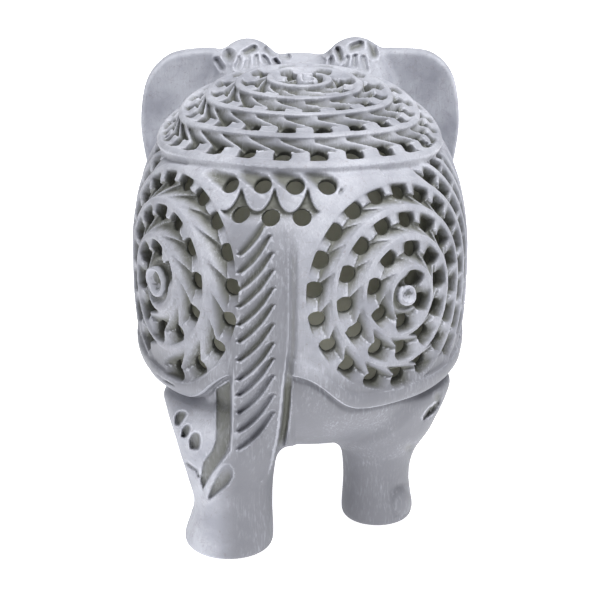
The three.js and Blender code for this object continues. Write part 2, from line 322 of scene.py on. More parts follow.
class SpiralTree:
    """A Geometry Nodes tree that lays the cells of a spiral out flat, one point for each."""

    def __init__(self) -> None:
        self.tree = bpy.data.node_groups.new("Spiral of cells", "GeometryNodeTree")
        face = self.tree.interface
        face.new_socket("Geometry", in_out="INPUT", socket_type="NodeSocketGeometry")
        for name in ("Start", "Pitch", "Step", "Phase", "Grow"):
            face.new_socket(name, in_out="INPUT", socket_type="NodeSocketFloat")
        face.new_socket("Count", in_out="INPUT", socket_type="NodeSocketInt")
        face.new_socket("Geometry", in_out="OUTPUT", socket_type="NodeSocketGeometry")
        self.source = self.tree.nodes.new("NodeGroupInput")
        self._wire()

    def _math(self, kind: str, *values: object) -> Socket:
        """A math node on sockets or numbers."""
        node = self.tree.nodes.new("ShaderNodeMath")
        node.operation = kind
        for socket, value in zip(node.inputs, values):
            if isinstance(value, (int, float)):
                socket.default_value = value
            else:
                self.tree.links.new(value, socket)
        return node.outputs[0]

    def _wire(self) -> None:
        """Equal steps along a spiral: the turned angle follows from the run by a square root."""
        nodes, links, given = self.tree.nodes, self.tree.links, self.source.outputs
        line = nodes.new("GeometryNodeMeshLine")
        links.new(given["Count"], line.inputs["Count"])
        index = nodes.new("GeometryNodeInputIndex").outputs[0]
        growth = self._math("DIVIDE", given["Pitch"], 2 * math.pi)
        run = self._math("MULTIPLY", index, given["Step"])
        square = self._math("MULTIPLY", given["Start"], given["Start"])
        inner = self._math("ADD", square, self._math("MULTIPLY", self._math("MULTIPLY", growth, 2.0), run))
        widened = self._math("SUBTRACT", self._math("SQRT", inner), given["Start"])
        total = self._math("DIVIDE", widened, growth)
        radius = self._math("ADD", given["Start"], self._math("MULTIPLY", growth, total))
        theta = self._math("ADD", self._math("MULTIPLY", total, given["Grow"]), given["Phase"])
        place = nodes.new("ShaderNodeCombineXYZ")
        links.new(radius, place.inputs[0])
        links.new(theta, place.inputs[1])
        put = nodes.new("GeometryNodeSetPosition")
        links.new(line.outputs["Mesh"], put.inputs["Geometry"])
        links.new(place.outputs[0], put.inputs["Position"])
        links.new(put.outputs[0], nodes.new("NodeGroupOutput").inputs[0])

    def cells(self, spiral: Spiral, count: int) -> Array:
        """Radius and angle of each cell, outwards from the rosette.

        Args:
            spiral: the spiral to lay out.
            count: how many cells to make.

        Returns:
            One row of radius and angle for each cell.
        """
        carrier = bpy.data.objects.new("layout", bpy.data.meshes.new("layout"))
        bpy.context.scene.collection.objects.link(carrier)
        modifier = carrier.modifiers.new("layout", "NODES")
        modifier.node_group = self.tree
        values = {"Start": spiral.start, "Pitch": spiral.pitch, "Step": spiral.step}
        values |= {"Grow": float(spiral.grow), "Phase": math.radians(spiral.phase)}
        values["Count"] = count
        for item in self.tree.interface.items_tree:
            if item.in_out == "INPUT" and item.name in values:
                modifier[item.identifier] = values[item.name]
        shaped = carrier.evaluated_get(bpy.context.evaluated_depsgraph_get())
        made = bpy.data.meshes.new_from_object(shaped)
        flat = np.empty(len(made.vertices) * 3, np.float32)
        made.vertices.foreach_get("co", flat)
        bpy.data.objects.remove(carrier)
        bpy.data.meshes.remove(made)
        return flat.reshape(-1, 3)[:, :2].astype(float)


class Block:
    """The stone as signed distances on a box of sample points, negative inside, in millimetres."""

    def __init__(self, low: Point, high: Point, step: float) -> None:
        self.step = step
        self.low = np.array(low)
        self.axes = [np.arange(a, b + step, step, dtype=np.float32) for a, b in zip(low, high)]
        self.value = np.full([len(axis) for axis in self.axes], FAR, np.float32)

    def window(self, low: Point, high: Point) -> tuple[tuple[slice, ...], Coords]:
        """The slices and coordinates of the samples between two corners."""
        cuts = []
        for axis, a, b in zip(self.axes, low, high):
            cuts.append(slice(*np.searchsorted(axis, (a, b))))
        x, y, z = (axis[cut] for axis, cut in zip(self.axes, cuts))
        return tuple(cuts), (x[:, None, None], y[None, :, None], z[None, None, :])

    def join(self, shape: Distance, low: Point, high: Point, blend: float = 0.0) -> None:
        """Adds a shape, known between two corners, with a fillet."""
        cuts, (x, y, z) = self.window(low, high)
        self.value[cuts] = soft_min(self.value[cuts], shape(x, y, z).astype(np.float32), blend)

    def carve(self, shape: Distance, low: Point, high: Point, blend: float = 0.0) -> None:
        """Takes a shape away, known between two corners, with a rounded edge."""
        cuts, (x, y, z) = self.window(low, high)
        self.value[cuts] = soft_max(self.value[cuts], -shape(x, y, z).astype(np.float32), blend)

    def sample(self, points: Array) -> Array:
        """The distance at points in millimetres, by the eight samples around each."""
        place = (points - self.low) / self.step
        top = np.array(self.value.shape) - 2
        base = np.clip(np.floor(place).astype(int), 0, top)
        part = (place - base).astype(np.float32)
        total = np.zeros(len(points), np.float32)
        for corner in range(8):
            bits = np.array([(corner >> k) & 1 for k in range(3)])
            weight = np.prod(np.where(bits, part, 1 - part), axis=1)
            i, j, k = (base + bits).T
            total += weight * self.value[i, j, k]
        return total


def rod(stations: list[tuple[float, float, float, float]]) -> Distance:
    """A round limb through stations of x, y, z and radius."""

    def distance(x: Array, y: Array, z: Array) -> Array:
        best = None
        for (ax, ay, az, ra), (bx, by, bz, rb) in zip(stations, stations[1:]):
            dx, dy, dz = bx - ax, by - ay, bz - az
            px, py, pz = x - ax, y - ay, z - az
            along = np.clip((px * dx + py * dy + pz * dz) / (dx * dx + dy * dy + dz * dz), 0, 1)
            gap = np.sqrt((px - along * dx) ** 2 + (py - along * dy) ** 2 + (pz - along * dz) ** 2)
            gap -= ra + (rb - ra) * along
            best = gap if best is None else soft_min(best, gap, 0.8)
        return best

    return distance


def drill(here: Array, along: Array, depth: float) -> Distance:
    """A drilled hole that goes depth millimetres in from a point, against the direction along."""

    def distance(x: Array, y: Array, z: Array) -> Array:
        px, py, pz = x - here[0], y - here[1], z - here[2]
        s = px * along[0] + py * along[1] + pz * along[2]
        flat = np.sqrt(np.maximum(px**2 + py**2 + pz**2 - s**2, 0))
        return np.maximum(flat - HOLE_RADIUS, -s - depth)

    return distance


def bend(stations: list[tuple[float, ...]], count: int) -> list[tuple[float, ...]]:
    """More stations along a smooth curve through the given ones."""
    known = np.array(stations, dtype=float)
    ends = np.vstack([2 * known[0] - known[1], known, 2 * known[-1] - known[-2]])
    out = []
    for t in np.linspace(0, len(known) - 1, count):
        i = min(int(t), len(known) - 2)
        f = t - i
        a, b, c, d = ends[i : i + 4]
        square = (2 * a - 5 * b + 4 * c - d) * f * f
        cube = (3 * b - a - 3 * c + d) * f**3
        out.append(0.5 * (2 * b + (c - a) * f + square + cube))
    return [tuple(row) for row in out]


def line_gap(u: Array, v: Array, path: list[tuple[float, ...]]) -> tuple[Array, Array]:
    """Distance to a line through points in a plane, and how far along it is nearest, from 0 to 1."""
    best = np.full(np.broadcast_shapes(u.shape, v.shape), 1e3)
    where = np.zeros_like(best)
    count = len(path) - 1
    for k, ((au, av), (bu, bv)) in enumerate(zip(path, path[1:])):
        du, dv = bu - au, bv - av
        along = np.clip(((u - au) * du + (v - av) * dv) / (du * du + dv * dv), 0, 1)
        gap = np.hypot(u - au - along * du, v - av - along * dv)
        nearer = gap < best
        best = np.where(nearer, gap, best)
        where = np.where(nearer, (k + along) / count, where)
    return best, where


def inside_outline(u: Array, v: Array, outline: list[tuple[float, ...]]) -> Array:
    """Signed distance to a closed outline in a plane, negative inside."""
    closed = outline + outline[:1]
    gap, _ = line_gap(u, v, closed)
    odd = np.zeros(gap.shape, bool)
    for (au, av), (bu, bv) in zip(closed, closed[1:]):
        crosses = (av > v) != (bv > v)
        span = bv - av if bv != av else 1e-9
        odd ^= crosses & (u < (bu - au) * (v - av) / span + au)
    return np.where(odd, -gap, gap)


@dataclass(frozen=True)
class Leg:
    """A leg as stations of x, y, z and radius from the sole up."""

    stations: tuple[tuple[float, float, float, float], ...]

    def distance(self, x: Array, y: Array, z: Array) -> Array:
        """Signed distance, with a flat sole on the ground."""
        known = np.array(bend(list(self.stations), 40))
        heights = z.reshape(-1)
        cx, cy, r = (np.interp(heights, known[:, 2], known[:, k])[None, None, :] for k in (0, 1, 3))
        gap = (np.hypot(x - cx, y - cy) - r) * 0.95
        gap = soft_max(gap, -z, 1.2)
        return soft_max(gap, z - known[-1, 2], 2.0)


LEGS = {
    "rear_left": Leg((
        (14.1, 43.6, 0, 8.5), (14.1, 43.6, 2.5, 8.8), (13.3, 43.6, 9, 7.8), (13.8, 43, 15, 8.6),
        (14.2, 42, 22, 10.2), (14.3, 38.5, 32, 12.6), (13, 33, 44, 12),
    )),
    "rear_right": Leg((
        (-15.7, 30.7, 0, 7.0), (-15.7, 30.7, 2.5, 7.2), (-15.5, 30.7, 9, 6.7), (-15.8, 31, 15, 7.5),
        (-16.8, 32, 22, 10.2), (-17, 32, 32, 13), (-15, 30, 44, 12),
    )),
    "front_left": Leg((
        (14.5, -19.5, 0, 7.6), (14.5, -19.5, 2.5, 7.9), (14.5, -19, 10, 7.3), (14, -17, 18, 8.6),
        (13.5, -12, 30, 12), (13, -8, 44, 14),
    )),
    "front_right": Leg((
        (-14.5, -9, 0, 7.6), (-14.5, -9, 2.5, 7.9), (-14.5, -9, 10, 7.3), (-14.5, -8.5, 18, 8.8),
        (-14, -7, 30, 12), (-13, -5, 44, 14),
    )),
}

EAR_OUTLINE = [
    (10.0, 75.0), (16.5, 81.0), (23.0, 81.9), (28.8, 80.9), (33.0, 76.3), (34.4, 68.0), (33.7, 60.0),
    (32.0, 52.5), (28.5, 46.2), (24.5, 44.7), (20.0, 50.0), (12.0, 58.0),
]
EAR_ROOT_Y = -27.0
EAR_THICK = 3.0

# The lists and ovals from here to PANEL_HOLES are in pixels of the photograph.
TAIL_OUTLINE = [
    (233, 228), (231.5, 300), (232, 375), (231, 440), (226, 456), (212, 474), (203, 490),
    (207, 500), (222, 501), (240, 499), (262, 491), (271, 470), (277, 445), (281, 413), (285, 375),
    (288, 330), (288, 228),
]
TAIL_CHANNEL = [
    (216, 389), (231, 380), (231, 440), (226, 455), (213, 473), (203, 490), (200, 480), (203, 462),
    (212, 450), (215.5, 440),
]
TEARDROP = [
    (228, 464), (233, 470), (232, 479), (224, 489), (209, 500), (209, 492), (215, 478), (222, 467),
]
TAIL_RIDGE = [
    (288, 232), (288, 330), (285.5, 363), (282, 385), (280, 413), (277, 440), (269, 468), (262, 482),
]
TAIL_GROOVE = [(293.5, 240), (293.5, 330), (291, 363), (288, 385), (286, 413), (282, 438), (277, 456)]
STROKE = [(-4.0, 3.5), (0.0, 0.0), (6.0, -6.0), (14.0, -16.0), (20.0, -26.0), (24.0, -33.0)]
STROKES = 12
STROKE_U = 244
STROKE_TOP_V = 252.0
STROKE_GAP = 17.6

FOOT_FOLD = [(186, 462), (191, 466), (197, 470), (199, 476)]
THIGH_STROKE = [(423, 420), (431, 407)]
THIGH_POCKET = (438, 398, 4, 6)
KNEE_POCKET = (410, 448, 5, 4.5)
TOENAIL = (403, 501, 10, 13)

PANEL_ROW = [(229, 184), (262, 185), (295, 186), (328, 186)]
TONGUE = [(-20, -6), (-18, 8), (-14, 19), (-8, 25), (-1, 25), (5, 19), (10, 9), (13, -6)]
PANEL_GROUND = [
    (205, 186), (214, 196), (222, 212), (232, 226), (308, 228), (318, 214), (334, 200), (348, 186),
]

# Each mark on the domes: its two ends and its half width.
DOME_PITS = [
    (229, 55, 229, 56, 6.5), (245, 54, 254, 49, 4.2), (267, 50, 273, 53, 3.6), (282, 56, 288, 57, 3.0),
    (324, 50, 327, 53, 3.6), (338, 50, 341, 60, 3.4), (352, 48, 360, 45, 4.6), (371, 44, 374, 55, 4.4),
]
DOME_FOLDS = [
    (240, 58, 237, 68, 2.6), (248, 58, 247, 68, 2.6), (256, 56, 257, 66, 2.4), (264, 57, 268, 65, 2.6),
    (217, 60, 222, 68, 3.0), (347, 58, 344, 68, 2.4), (355, 56, 354, 66, 2.4), (363, 58, 366, 70, 2.8),
    (331, 58, 330, 66, 2.4), (275, 60, 279, 66, 2.4),
]

# Leaf-shaped pockets on the left rear leg.
LEAVES = [
    [(175, 425), (175, 416), (180, 411), (187, 413), (184, 420), (179, 426)],
    [(181, 437), (182, 429), (187, 424), (191, 427), (189, 434), (185, 438)],
    [(190, 449), (189, 440), (194, 432), (200, 434), (201, 443), (198, 450)],
]

# The holes over the tail, as x and z in millimetres.
PANEL_HOLES = [
    (13.4, 76.1), (7.2, 76.6), (0.9, 76.6), (-5.3, 76.5),
    (11.5, 71.8), (5.6, 71.7), (-0.4, 71.8),
]


class Elephant:
    """The whole figure as one carved stone."""

    def __init__(self, step: float) -> None:
        self.block = Block((-35.6, -56.6, -1.2), (35.6, 57.6, 88.2), step)
        self.hand = np.random.default_rng(7)
        self.level: Array | None = None
        self.rib: Array | None = None
        self.skin: Array | None = None

    def body(self) -> None:
        """The body's ball and the four legs."""
        everything = ((-99, -99, -99), (99, 99, 99))
        self.block.join(BODY.distance, *everything)
        for name, leg in LEGS.items():
            foot = leg.stations[0]
            low = (foot[0] - 22, foot[1] - 24, -5)
            high = (foot[0] + 22, foot[1] + 24, 46)

            def under_rim(x: Array, y: Array, z: Array, leg: Leg = leg) -> Array:
                inside = BODY.distance(x, y, z) + BELLY_STEP - 1.3 * np.maximum(RIM_LOW_Z - z, 0)
                return soft_max(leg.distance(x, y, z), inside, 1.5)

            self.block.join(under_rim, low, high, 3.0)
            log.info("leg %s", name)

    def head(self) -> None:
        """The head, its two domes, trunk, mouth and tusks."""
        join = self.block.join
        skull = Ball((0, -31, 58), 18.8, 16.8, 21, 21, 2.2, 2.2, 2.2)
        join(skull.distance, (-34, -56, 30), (34, 2, 86), 5.0)
        for x, wide, tall in ((11.3, 8.6, 12.2), (-12.0, 9.0, 12.5)):
            dome = Ball((x, -29, 71), wide, 11, tall, 14)
            join(dome.distance, (x - 16, -48, 52), (x + 16, -8, 86), 2.5)
        trunk = bend(
            [
                (0, -37, 58, 10.6), (0, -45, 48, 8.9), (0, -48.3, 36, 7.0), (0, -47.3, 24, 5.7),
                (0, -45, 14, 4.8), (0, -46.8, 7.6, 4.2), (0, -50.8, 6.6, 3.7), (0, -51.8, 9.6, 3.1),
            ],
            16,
        )
        join(rod(trunk), (-16, -56.5, 0), (16, -20, 74), 3.0)
        lip = [(0, -36, 48, 6.6), (0, -41, 42, 4.2), (0, -42.5, 39.5, 1.8)]
        join(rod(bend(lip, 5)), (-10, -50, 34), (10, -26, 58), 1.6)
        for side in (1, -1):
            tusk = [(7.5 * side, -40, 48.5, 2.8), (9 * side, -47, 43.8, 2.3), (9.6 * side, -52.6, 42, 0.9)]
            join(rod(bend(tusk, 7)), (-16, -56, 36), (16, -34, 56), 0.5)

    def ears(self) -> None:
        """Two large ears swept back over the shoulders."""
        outline = bend(EAR_OUTLINE + EAR_OUTLINE[:1], 60)[:-1]
        for side, lift in ((1, 0.0), (-1, 0.9)):

            def ear(x: Array, y: Array, z: Array, side: int = side, lift: float = lift) -> Array:
                across = x * side
                high = z - lift * smoothstep(20, 34, across) * smoothstep(60, 78, z)
                gap = inside_outline(across, high, outline) * np.ones_like(y)
                sweep = EAR_ROOT_Y + 0.014 * np.maximum(across - 12, 0) ** 2 - EAR_THICK / 2
                dish = 0.8 * np.exp(-(((across - 24) / 7) ** 2) - ((z - 64) / 11) ** 2)
                off = np.abs(y - sweep + dish * 0.4) - (EAR_THICK / 2 - 0.7)
                outward = np.maximum(gap + 1.2, 0)
                return np.hypot(outward, np.maximum(off, 0)) - 1.0 + np.minimum(np.maximum(gap + 1.2, off), 0)

            low = (8 if side > 0 else -36, -34, 41)
            high = (36 if side > 0 else -8, -8, 86)
            self.block.join(ear, low, high, 1.6)

    def relief(self) -> None:
        """The raised cloth, the lanes between ribs, the borders and the sunken belly."""
        block = self.block
        value = block.value
        x, y, z = np.meshgrid(*block.axes, indexing="ij", sparse=True)
        self.level = BODY.distance(x, y, z).astype(np.float32)
        self.rib = np.full(value.shape, FAR, np.float32)
        near_skin = (self.level < 2.2) & (self.level > -SHELL - 1.6)
        i, j, k = np.nonzero(near_skin & (y > SHOULDER_Y - 8) & (z > 16))
        points = np.stack([block.axes[0][i], block.axes[1][j], block.axes[2][k]], axis=1).astype(float)
        offset = points - np.array(BODY.centre)
        d = offset / np.linalg.norm(offset, axis=1, keepdims=True)
        level = self.level[i, j, k]
        lift = np.zeros(len(points))
        own_skin = 1 - smoothstep(0.2, 1.6, level - value[i, j, k])
        cloth = cloth_depth(d)
        ribs = np.full(len(points), FAR)
        for side, spiral in SPIRALS.items():
            depth = zone_depth(side, d, points)
            r, theta = spiral.polar(d)
            gap = spiral.rib_gap(r, theta)
            raised = 0.9 if side is Side.SADDLE else 0.45
            sunk = raised * smoothstep(spiral.rib_half * 0.7, spiral.rib_half + 0.8, gap)
            sunk *= smoothstep(0.0, 0.8, depth)
            lift -= np.where(depth > 0, sunk, 0.0)
            ribs = np.where(depth > -1.0, np.minimum(gap, np.maximum(depth, 0.0) + RIB_HALF * 0.6), ribs)
        self.rib[i, j, k] = ribs
        lift += 0.75 * smoothstep(-0.3, 0.15, cloth)
        lift -= 0.5 * bell(cloth + 0.7, 0.6)
        around = np.arctan2(d[:, 0], d[:, 1])
        down = rim_foot(around) + RIM_BAND - points[:, 2]
        tail_side = smoothstep(0.125, 0.165, np.abs(around - TAIL_AROUND))
        front = smoothstep(SHOULDER_Y - 3, SHOULDER_Y + 2, points[:, 1])
        bead = np.clip(1 - ((down - RIM_BAND * 0.5) / (RIM_BAND * 0.68)) ** 2, 0, 1) ** 0.6
        step = BELLY_STEP * smoothstep(16, 25, points[:, 2])
        under = step * smoothstep(RIM_BAND, RIM_BAND + 0.5, down)
        under += 0.7 * bell(down - RIM_BAND - 1.0, 0.8) * smoothstep(20, 26, points[:, 2])
        lift += (0.85 * bead - under) * tail_side * front
        lift -= step * smoothstep(RIM_BAND, RIM_BAND + 3, down) * (1 - front)
        value[i, j, k] -= (lift * own_skin).astype(np.float32)
        self.skin = value.copy()
        log.info("relief on %d samples", len(points))

    def engrave(self, low: Point, high: Point, height: Callable[[Array, Array], Array]) -> None:
        """Lifts or sinks the skin that faces the photograph's camera.

        Args:
            low: one corner of the part of the stone it works on.
            high: the other corner.
            height: millimetres to lift by, from places in the picture.
        """
        cuts, (x, y, z) = self.block.window(low, high)
        value = self.block.value[cuts]
        slope = np.gradient(value, self.block.step)
        i, j, k = np.nonzero(np.abs(value) < 2.2)
        away = VIEW.away()
        facing = sum(slope[axis][i, j, k] * away[axis] for axis in range(3))
        points = np.stack([x[i, 0, 0], y[0, j, 0], z[0, 0, k]], axis=1).astype(float)
        u, v = VIEW.pixels(points)
        value[i, j, k] -= (height(u, v) * smoothstep(0.05, 0.4, facing)).astype(np.float32)

    def hollow(self) -> None:
        """The space inside the shell."""

        def cavity(x: Array, y: Array, z: Array) -> Array:
            gap = BODY.distance(x, y, z) + SHELL
            gap = soft_max(gap, CAVITY_FLOOR_Z - z, 3.0)
            return soft_max(gap, CAVITY_FRONT_Y - y, 3.0)

        self.block.carve(cavity, (-34, -14, 26), (34, 56, 88), 0.6)

    def cells(self) -> None:
        """Every drilled hole with its scoop."""
        layout = SpiralTree()
        for side, spiral in SPIRALS.items():
            count = 0
            for r, theta in layout.cells(spiral, MOST_CELLS):
                if r / spiral.radius > WIDEST:
                    break
                d = spiral.towards(r, theta)
                point = BODY.surface(d)
                depth = zone_depth(side, d[None], point[None])[0]
                if depth < (ROOM / 4 if side is Side.SADDLE else ROOM):
                    continue
                if side is not Side.SADDLE and d[0] * spiral.centre[0] < -0.1:
                    continue
                self.cell(spiral, r, theta)
                count += 1
            log.info("%s: %d cells", side.value, count)

    def cell(self, spiral: Spiral, r: float, theta: float) -> None:
        """One drilled hole and the scoop under the petal's edge that runs to it from the inner rib.

        Args:
            spiral: the spiral that the cell belongs to.
            r: the hole's distance over the surface from the rosette.
            theta: its angle round the rosette.
        """
        here = BODY.surface(spiral.towards(r, theta))
        axis = unit(here - np.array(BODY.centre))
        reach = 8.0
        cuts, (x, y, z) = self.block.window(tuple(here - reach), tuple(here + reach))
        deep = -self.level[cuts]
        i, j, k = np.nonzero((deep > -3.0) & (deep < SHELL + 1.8))
        deep = deep[i, j, k]
        points = np.stack([x[i, 0, 0], y[0, j, 0], z[0, 0, k]], axis=1).astype(float)
        offset = points - np.array(BODY.centre)
        far = np.linalg.norm(offset, axis=1)
        place, angle = spiral.polar(offset / far[:, None])
        turn = (angle - theta + math.pi) % (2 * math.pi) - math.pi
        scale = far / spiral.radius
        back = spiral.grow * turn * spiral.radius * np.sin(place / spiral.radius) * scale
        out = (place - r - spiral.pitch * spiral.grow * turn / (2 * math.pi)) * scale

        from_hole = points - here
        along = from_hole @ axis
        hole = np.sqrt(np.maximum((from_hole**2).sum(axis=1) - along**2, 0)) - HOLE_RADIUS
        hole = np.maximum(hole, deep - SHELL - 1.4)

        inner = RIB_OFFSET - spiral.pitch
        share = np.clip((out - inner) / -inner, 0.0, 1.3)
        lead = spiral.lead + 0.18 * self.hand.standard_normal()
        behind = -spiral.knee - out
        behind = 0.5 * (behind + np.sqrt(behind**2 + 0.2))
        high = float(smoothstep(56, 70, here[2]))
        slant = spiral.slant + spiral.trail * high
        edge = lead + 0.22 * np.maximum(out, -spiral.knee) + slant * behind
        ahead = (edge - back) / np.where(out < -spiral.knee, math.hypot(1, slant), 1.05)
        most = 2.15 + 0.12 * self.hand.standard_normal()
        depth = 0.5 + (most - 0.5) * smoothstep(0.0, 0.75, share)
        wide = spiral.ramp * (0.55 + 0.45 * np.sqrt(np.minimum(share, 1.0)))
        floor = depth * np.clip(1 - np.maximum(ahead / wide, 0) ** 1.7, -0.4, 1.0)
        scoop = soft_max((deep - floor) * 0.85, -ahead, 0.25)
        scoop = np.maximum(scoop, 1.3 - place * scale)
        best = np.minimum(hole, scoop)
        half = spiral.rib_half + (0.3 * high if spiral.rib_half < 0.5 else 0.0)
        best = soft_max(best, half - self.rib[cuts][i, j, k], 0.3)
        best = np.maximum(best, np.maximum(out - RIB_OFFSET, inner - out))
        value = self.block.value[cuts]
        value[i, j, k] = soft_max(value[i, j, k], -best.astype(np.float32), 0.2)

    def rosettes(self) -> None:
        """A blind pit inside a raised ring in the middle of each spiral."""
        for spiral in SPIRALS.values():
            here = BODY.surface(spiral.centre)
            cuts, (x, y, z) = self.block.window(tuple(here - 6), tuple(here + 6))
            off = np.sqrt((x - here[0]) ** 2 + (y - here[1]) ** 2 + (z - here[2]) ** 2)
            wide = max(1.7, spiral.start - HOLE_RADIUS - 1.2)
            ring = 0.5 * bell(off - wide, 0.5)
            pit = 2.4 * (1 - smoothstep(wide - 0.8, wide - 0.4, off))
            moat = 0.9 * smoothstep(wide + 0.3, wide + 0.9, off)
            moat *= 1 - smoothstep(wide + 1.2, wide + 2.2, off)
            near_skin = 1 - smoothstep(2.0, 2.8, np.abs(self.level[cuts]))
            self.block.value[cuts] -= ((ring - pit - moat) * near_skin).astype(np.float32)

    def panel(self) -> None:
        """The plain drilled holes over the tail."""
        for x0, z0 in PANEL_HOLES:
            dz = abs(z0 - BODY.centre[2]) / BODY.half_up
            flat = (1 - dz**BODY.power_up) ** (1 / BODY.power_up)
            dy = (flat**BODY.power_flat - abs(x0 / BODY.half_x) ** BODY.power_flat) ** (1 / BODY.power_flat)
            here = np.array([x0, BODY.centre[1] + BODY.half_y * dy, z0])
            along = unit(here - np.array(BODY.centre))
            self.block.carve(drill(here, along, SHELL + 2.5), tuple(here - 7), tuple(here + 7), 0.15)

    def tail(self) -> None:
        """The tail laid down the left rear leg, with its gouged strokes, and the leg's own marks."""
        outline = bend(TAIL_OUTLINE, 48)
        teardrop = bend(TEARDROP + TEARDROP[:1], 24)
        ridge = bend(TAIL_RIDGE, 20)
        groove = bend(TAIL_GROOVE, 16)
        strokes = []
        for k in range(STROKES):
            v0 = STROKE_TOP_V + STROKE_GAP * k + 1.2 * self.hand.standard_normal()
            wide = 1 + 0.2 * float(smoothstep(250, 300, np.float64(v0)))
            strokes.append(bend([(STROKE_U + du * wide, v0 + dv) for du, dv in STROKE], 12))

        def height(u: Array, v: Array) -> Array:
            edge = inside_outline(u, v, outline)
            up = (0.1 + 1.0 * smoothstep(345, 400, v)) * (1 - smoothstep(-1.2, 0.8, edge))
            up *= smoothstep(228, 250, v)
            up *= 1 - smoothstep(452, 486, v)
            up -= 0.95 * (1 - smoothstep(-1.6, 0.6, inside_outline(u, v, TAIL_CHANNEL)))
            drop = inside_outline(u, v, teardrop)
            up += 0.25 * bell(drop - 1.5, 1.5) - 0.9 * (1 - smoothstep(-2.5, 0.2, drop))
            up += 0.35 * bell(line_gap(u, v, ridge)[0], 2.4)
            deeper = 0.5 * smoothstep(238, 262, v) + 0.9 * smoothstep(370, 392, v)
            up -= deeper * np.exp(-((line_gap(u, v, groove)[0] / 3.6) ** 4))
            for stroke in strokes:
                near, along = line_gap(u, v, stroke)
                line_u, line_v = np.array(stroke).T
                above = v < np.interp(u, line_u, line_v)
                half = np.where(above, 8.5, 2.6) * np.sin((0.12 + 0.8 * along) * math.pi) ** 0.6
                up -= 1.5 * np.clip(1 - near / half, 0, 1) ** 1.15
            return up

        self.engrave((0, 34, 4), (24, 99, 74), height)
        self.engrave((14, 26, 2), (32, 99, 36), self._left_leg_marks)
        self.engrave((-34, 14, 2), (0, 60, 36), self._right_leg_marks)

    @staticmethod
    def _left_leg_marks(u: Array, v: Array) -> Array:
        """Leaf-shaped pockets, the fold over the foot and the foot's gouge marks."""
        up = np.zeros_like(u)
        for outline in LEAVES:
            edge = inside_outline(u, v, bend(outline + outline[:1], 20))
            up -= 0.9 * (1 - smoothstep(-1.8, 0.4, edge))
            up += 0.22 * bell(edge - 1.0, 1.0)
        fold, _ = line_gap(u, v, FOOT_FOLD)
        up -= 0.6 * bell(fold, 1.4)
        return up

    @staticmethod
    def _right_leg_marks(u: Array, v: Array) -> Array:
        """Short strokes on the thigh, two pockets, and the toenail's bump on the foot."""
        up = np.zeros_like(u)
        for k in range(3):
            near, along = line_gap(u, v, [(at_u + 4 * k, at_v - 3 * k) for at_u, at_v in THIGH_STROKE])
            up -= 0.7 * np.clip(1 - (near / (2.4 * np.sin(math.pi * (0.1 + 0.8 * along)))) ** 2, 0, 1)
        up -= 0.8 * np.exp(-(oval(u, v, THIGH_POCKET) ** 1.5))
        up -= 0.7 * np.exp(-(oval(u, v, KNEE_POCKET) ** 1.5))
        nail = oval(u, v, TOENAIL)
        up += 1.0 * np.exp(-(nail**1.5)) - 0.3 * bell(np.sqrt(nail) - 1.3, 0.3)
        return up

    def panel_petals(self) -> None:
        """The tongues that hang between the panel's two rows of holes, and the scoops beside them."""
        tongue = bend(TONGUE, 28)
        tongues = [[(hu + du, hv + dv) for du, dv in tongue] for hu, hv in PANEL_ROW]

        def height(u: Array, v: Array) -> Array:
            up = np.zeros_like(u)
            for hu, hv in PANEL_ROW:
                near, along = line_gap(u, v, [(hu - 26, hv - 11), (hu - 16, hv - 9), (hu, hv - 1)])
                up -= 1.7 * along**0.7 * np.clip(1 - (near / (3.0 + 8.0 * along)) ** 2, 0, 1)
            ground = 1 - smoothstep(-3.0, 2.0, inside_outline(u, v, PANEL_GROUND))
            ground = ground * smoothstep(186, 194, v) * (1 - smoothstep(206, 224, v))
            for outline in tongues:
                ground = ground * smoothstep(-0.4, 1.6, inside_outline(u, v, outline))
            return up - 1.7 * ground

        self.engrave((-12, 34, 66), (22, 99, 82), height)

    def head_pits(self) -> None:
        """Scooped marks of the headcloth on the domes."""

        def height(u: Array, v: Array) -> Array:
            up = np.zeros_like(u)
            for marks, deep in ((DOME_PITS, 1.1), (DOME_FOLDS, 0.6)):
                for au, av, bu, bv, half in marks:
                    near, _ = line_gap(u, v, [(au, av), (bu, bv)])
                    up -= deep * bell(near, 0.75 * half)
                    up += 0.35 * bell(near - half - 1.4, 1.5)
            return np.clip(up, -1.2, 0.6)

        self.engrave((-24, -44, 66), (24, -18, 87), height)

    def face(self) -> None:
        """Almond eyes, rings round the trunk and toenails, plainer than the rear."""
        for side in (1, -1):
            eye = Ball((11.5 * side, -44.0, 61.0), 3.4, 2.2, 1.7, 1.7)
            self.block.join(eye.distance, (11.5 * side - 7, -50, 55), (11.5 * side + 7, -37, 67), 0.6)
            lid = [
                (7 * side, -46, 61.4, 0.5), (11.5 * side, -46.2, 63.6, 0.5), (15.5 * side, -41.5, 61.6, 0.5),
            ]
            self.block.carve(rod(bend(lid, 9)), (11.5 * side - 8, -50, 55), (11.5 * side + 8, -37, 68), 0.4)
        cuts, (x, y, z) = self.block.window((-13, -56.5, 10), (13, -34, 50))
        value = self.block.value[cuts]
        ring = bell((z + 0.35 * (y + 45)) % 4.2 - 2.1, 0.5)
        trunk_only = (1 - smoothstep(-44.5, -43.0, y)) * smoothstep(12, 16, z) * (1 - smoothstep(44, 48, z))
        near_skin = np.abs(value) < 1.2
        value += (0.35 * ring * trunk_only * near_skin).astype(np.float32)
        for leg in LEGS.values():
            fx, fy, _, radius = leg.stations[1]
            for turn in (-0.75, 0.0, 0.75):
                at = (fx + math.sin(turn) * radius, fy - math.cos(turn) * radius, 2.6)
                nail = Ball(at, 2.0, 1.6, 2.6, 2.4)
                self.block.join(nail.distance, tuple(np.array(at) - 5), tuple(np.array(at) + 5), 0.35)

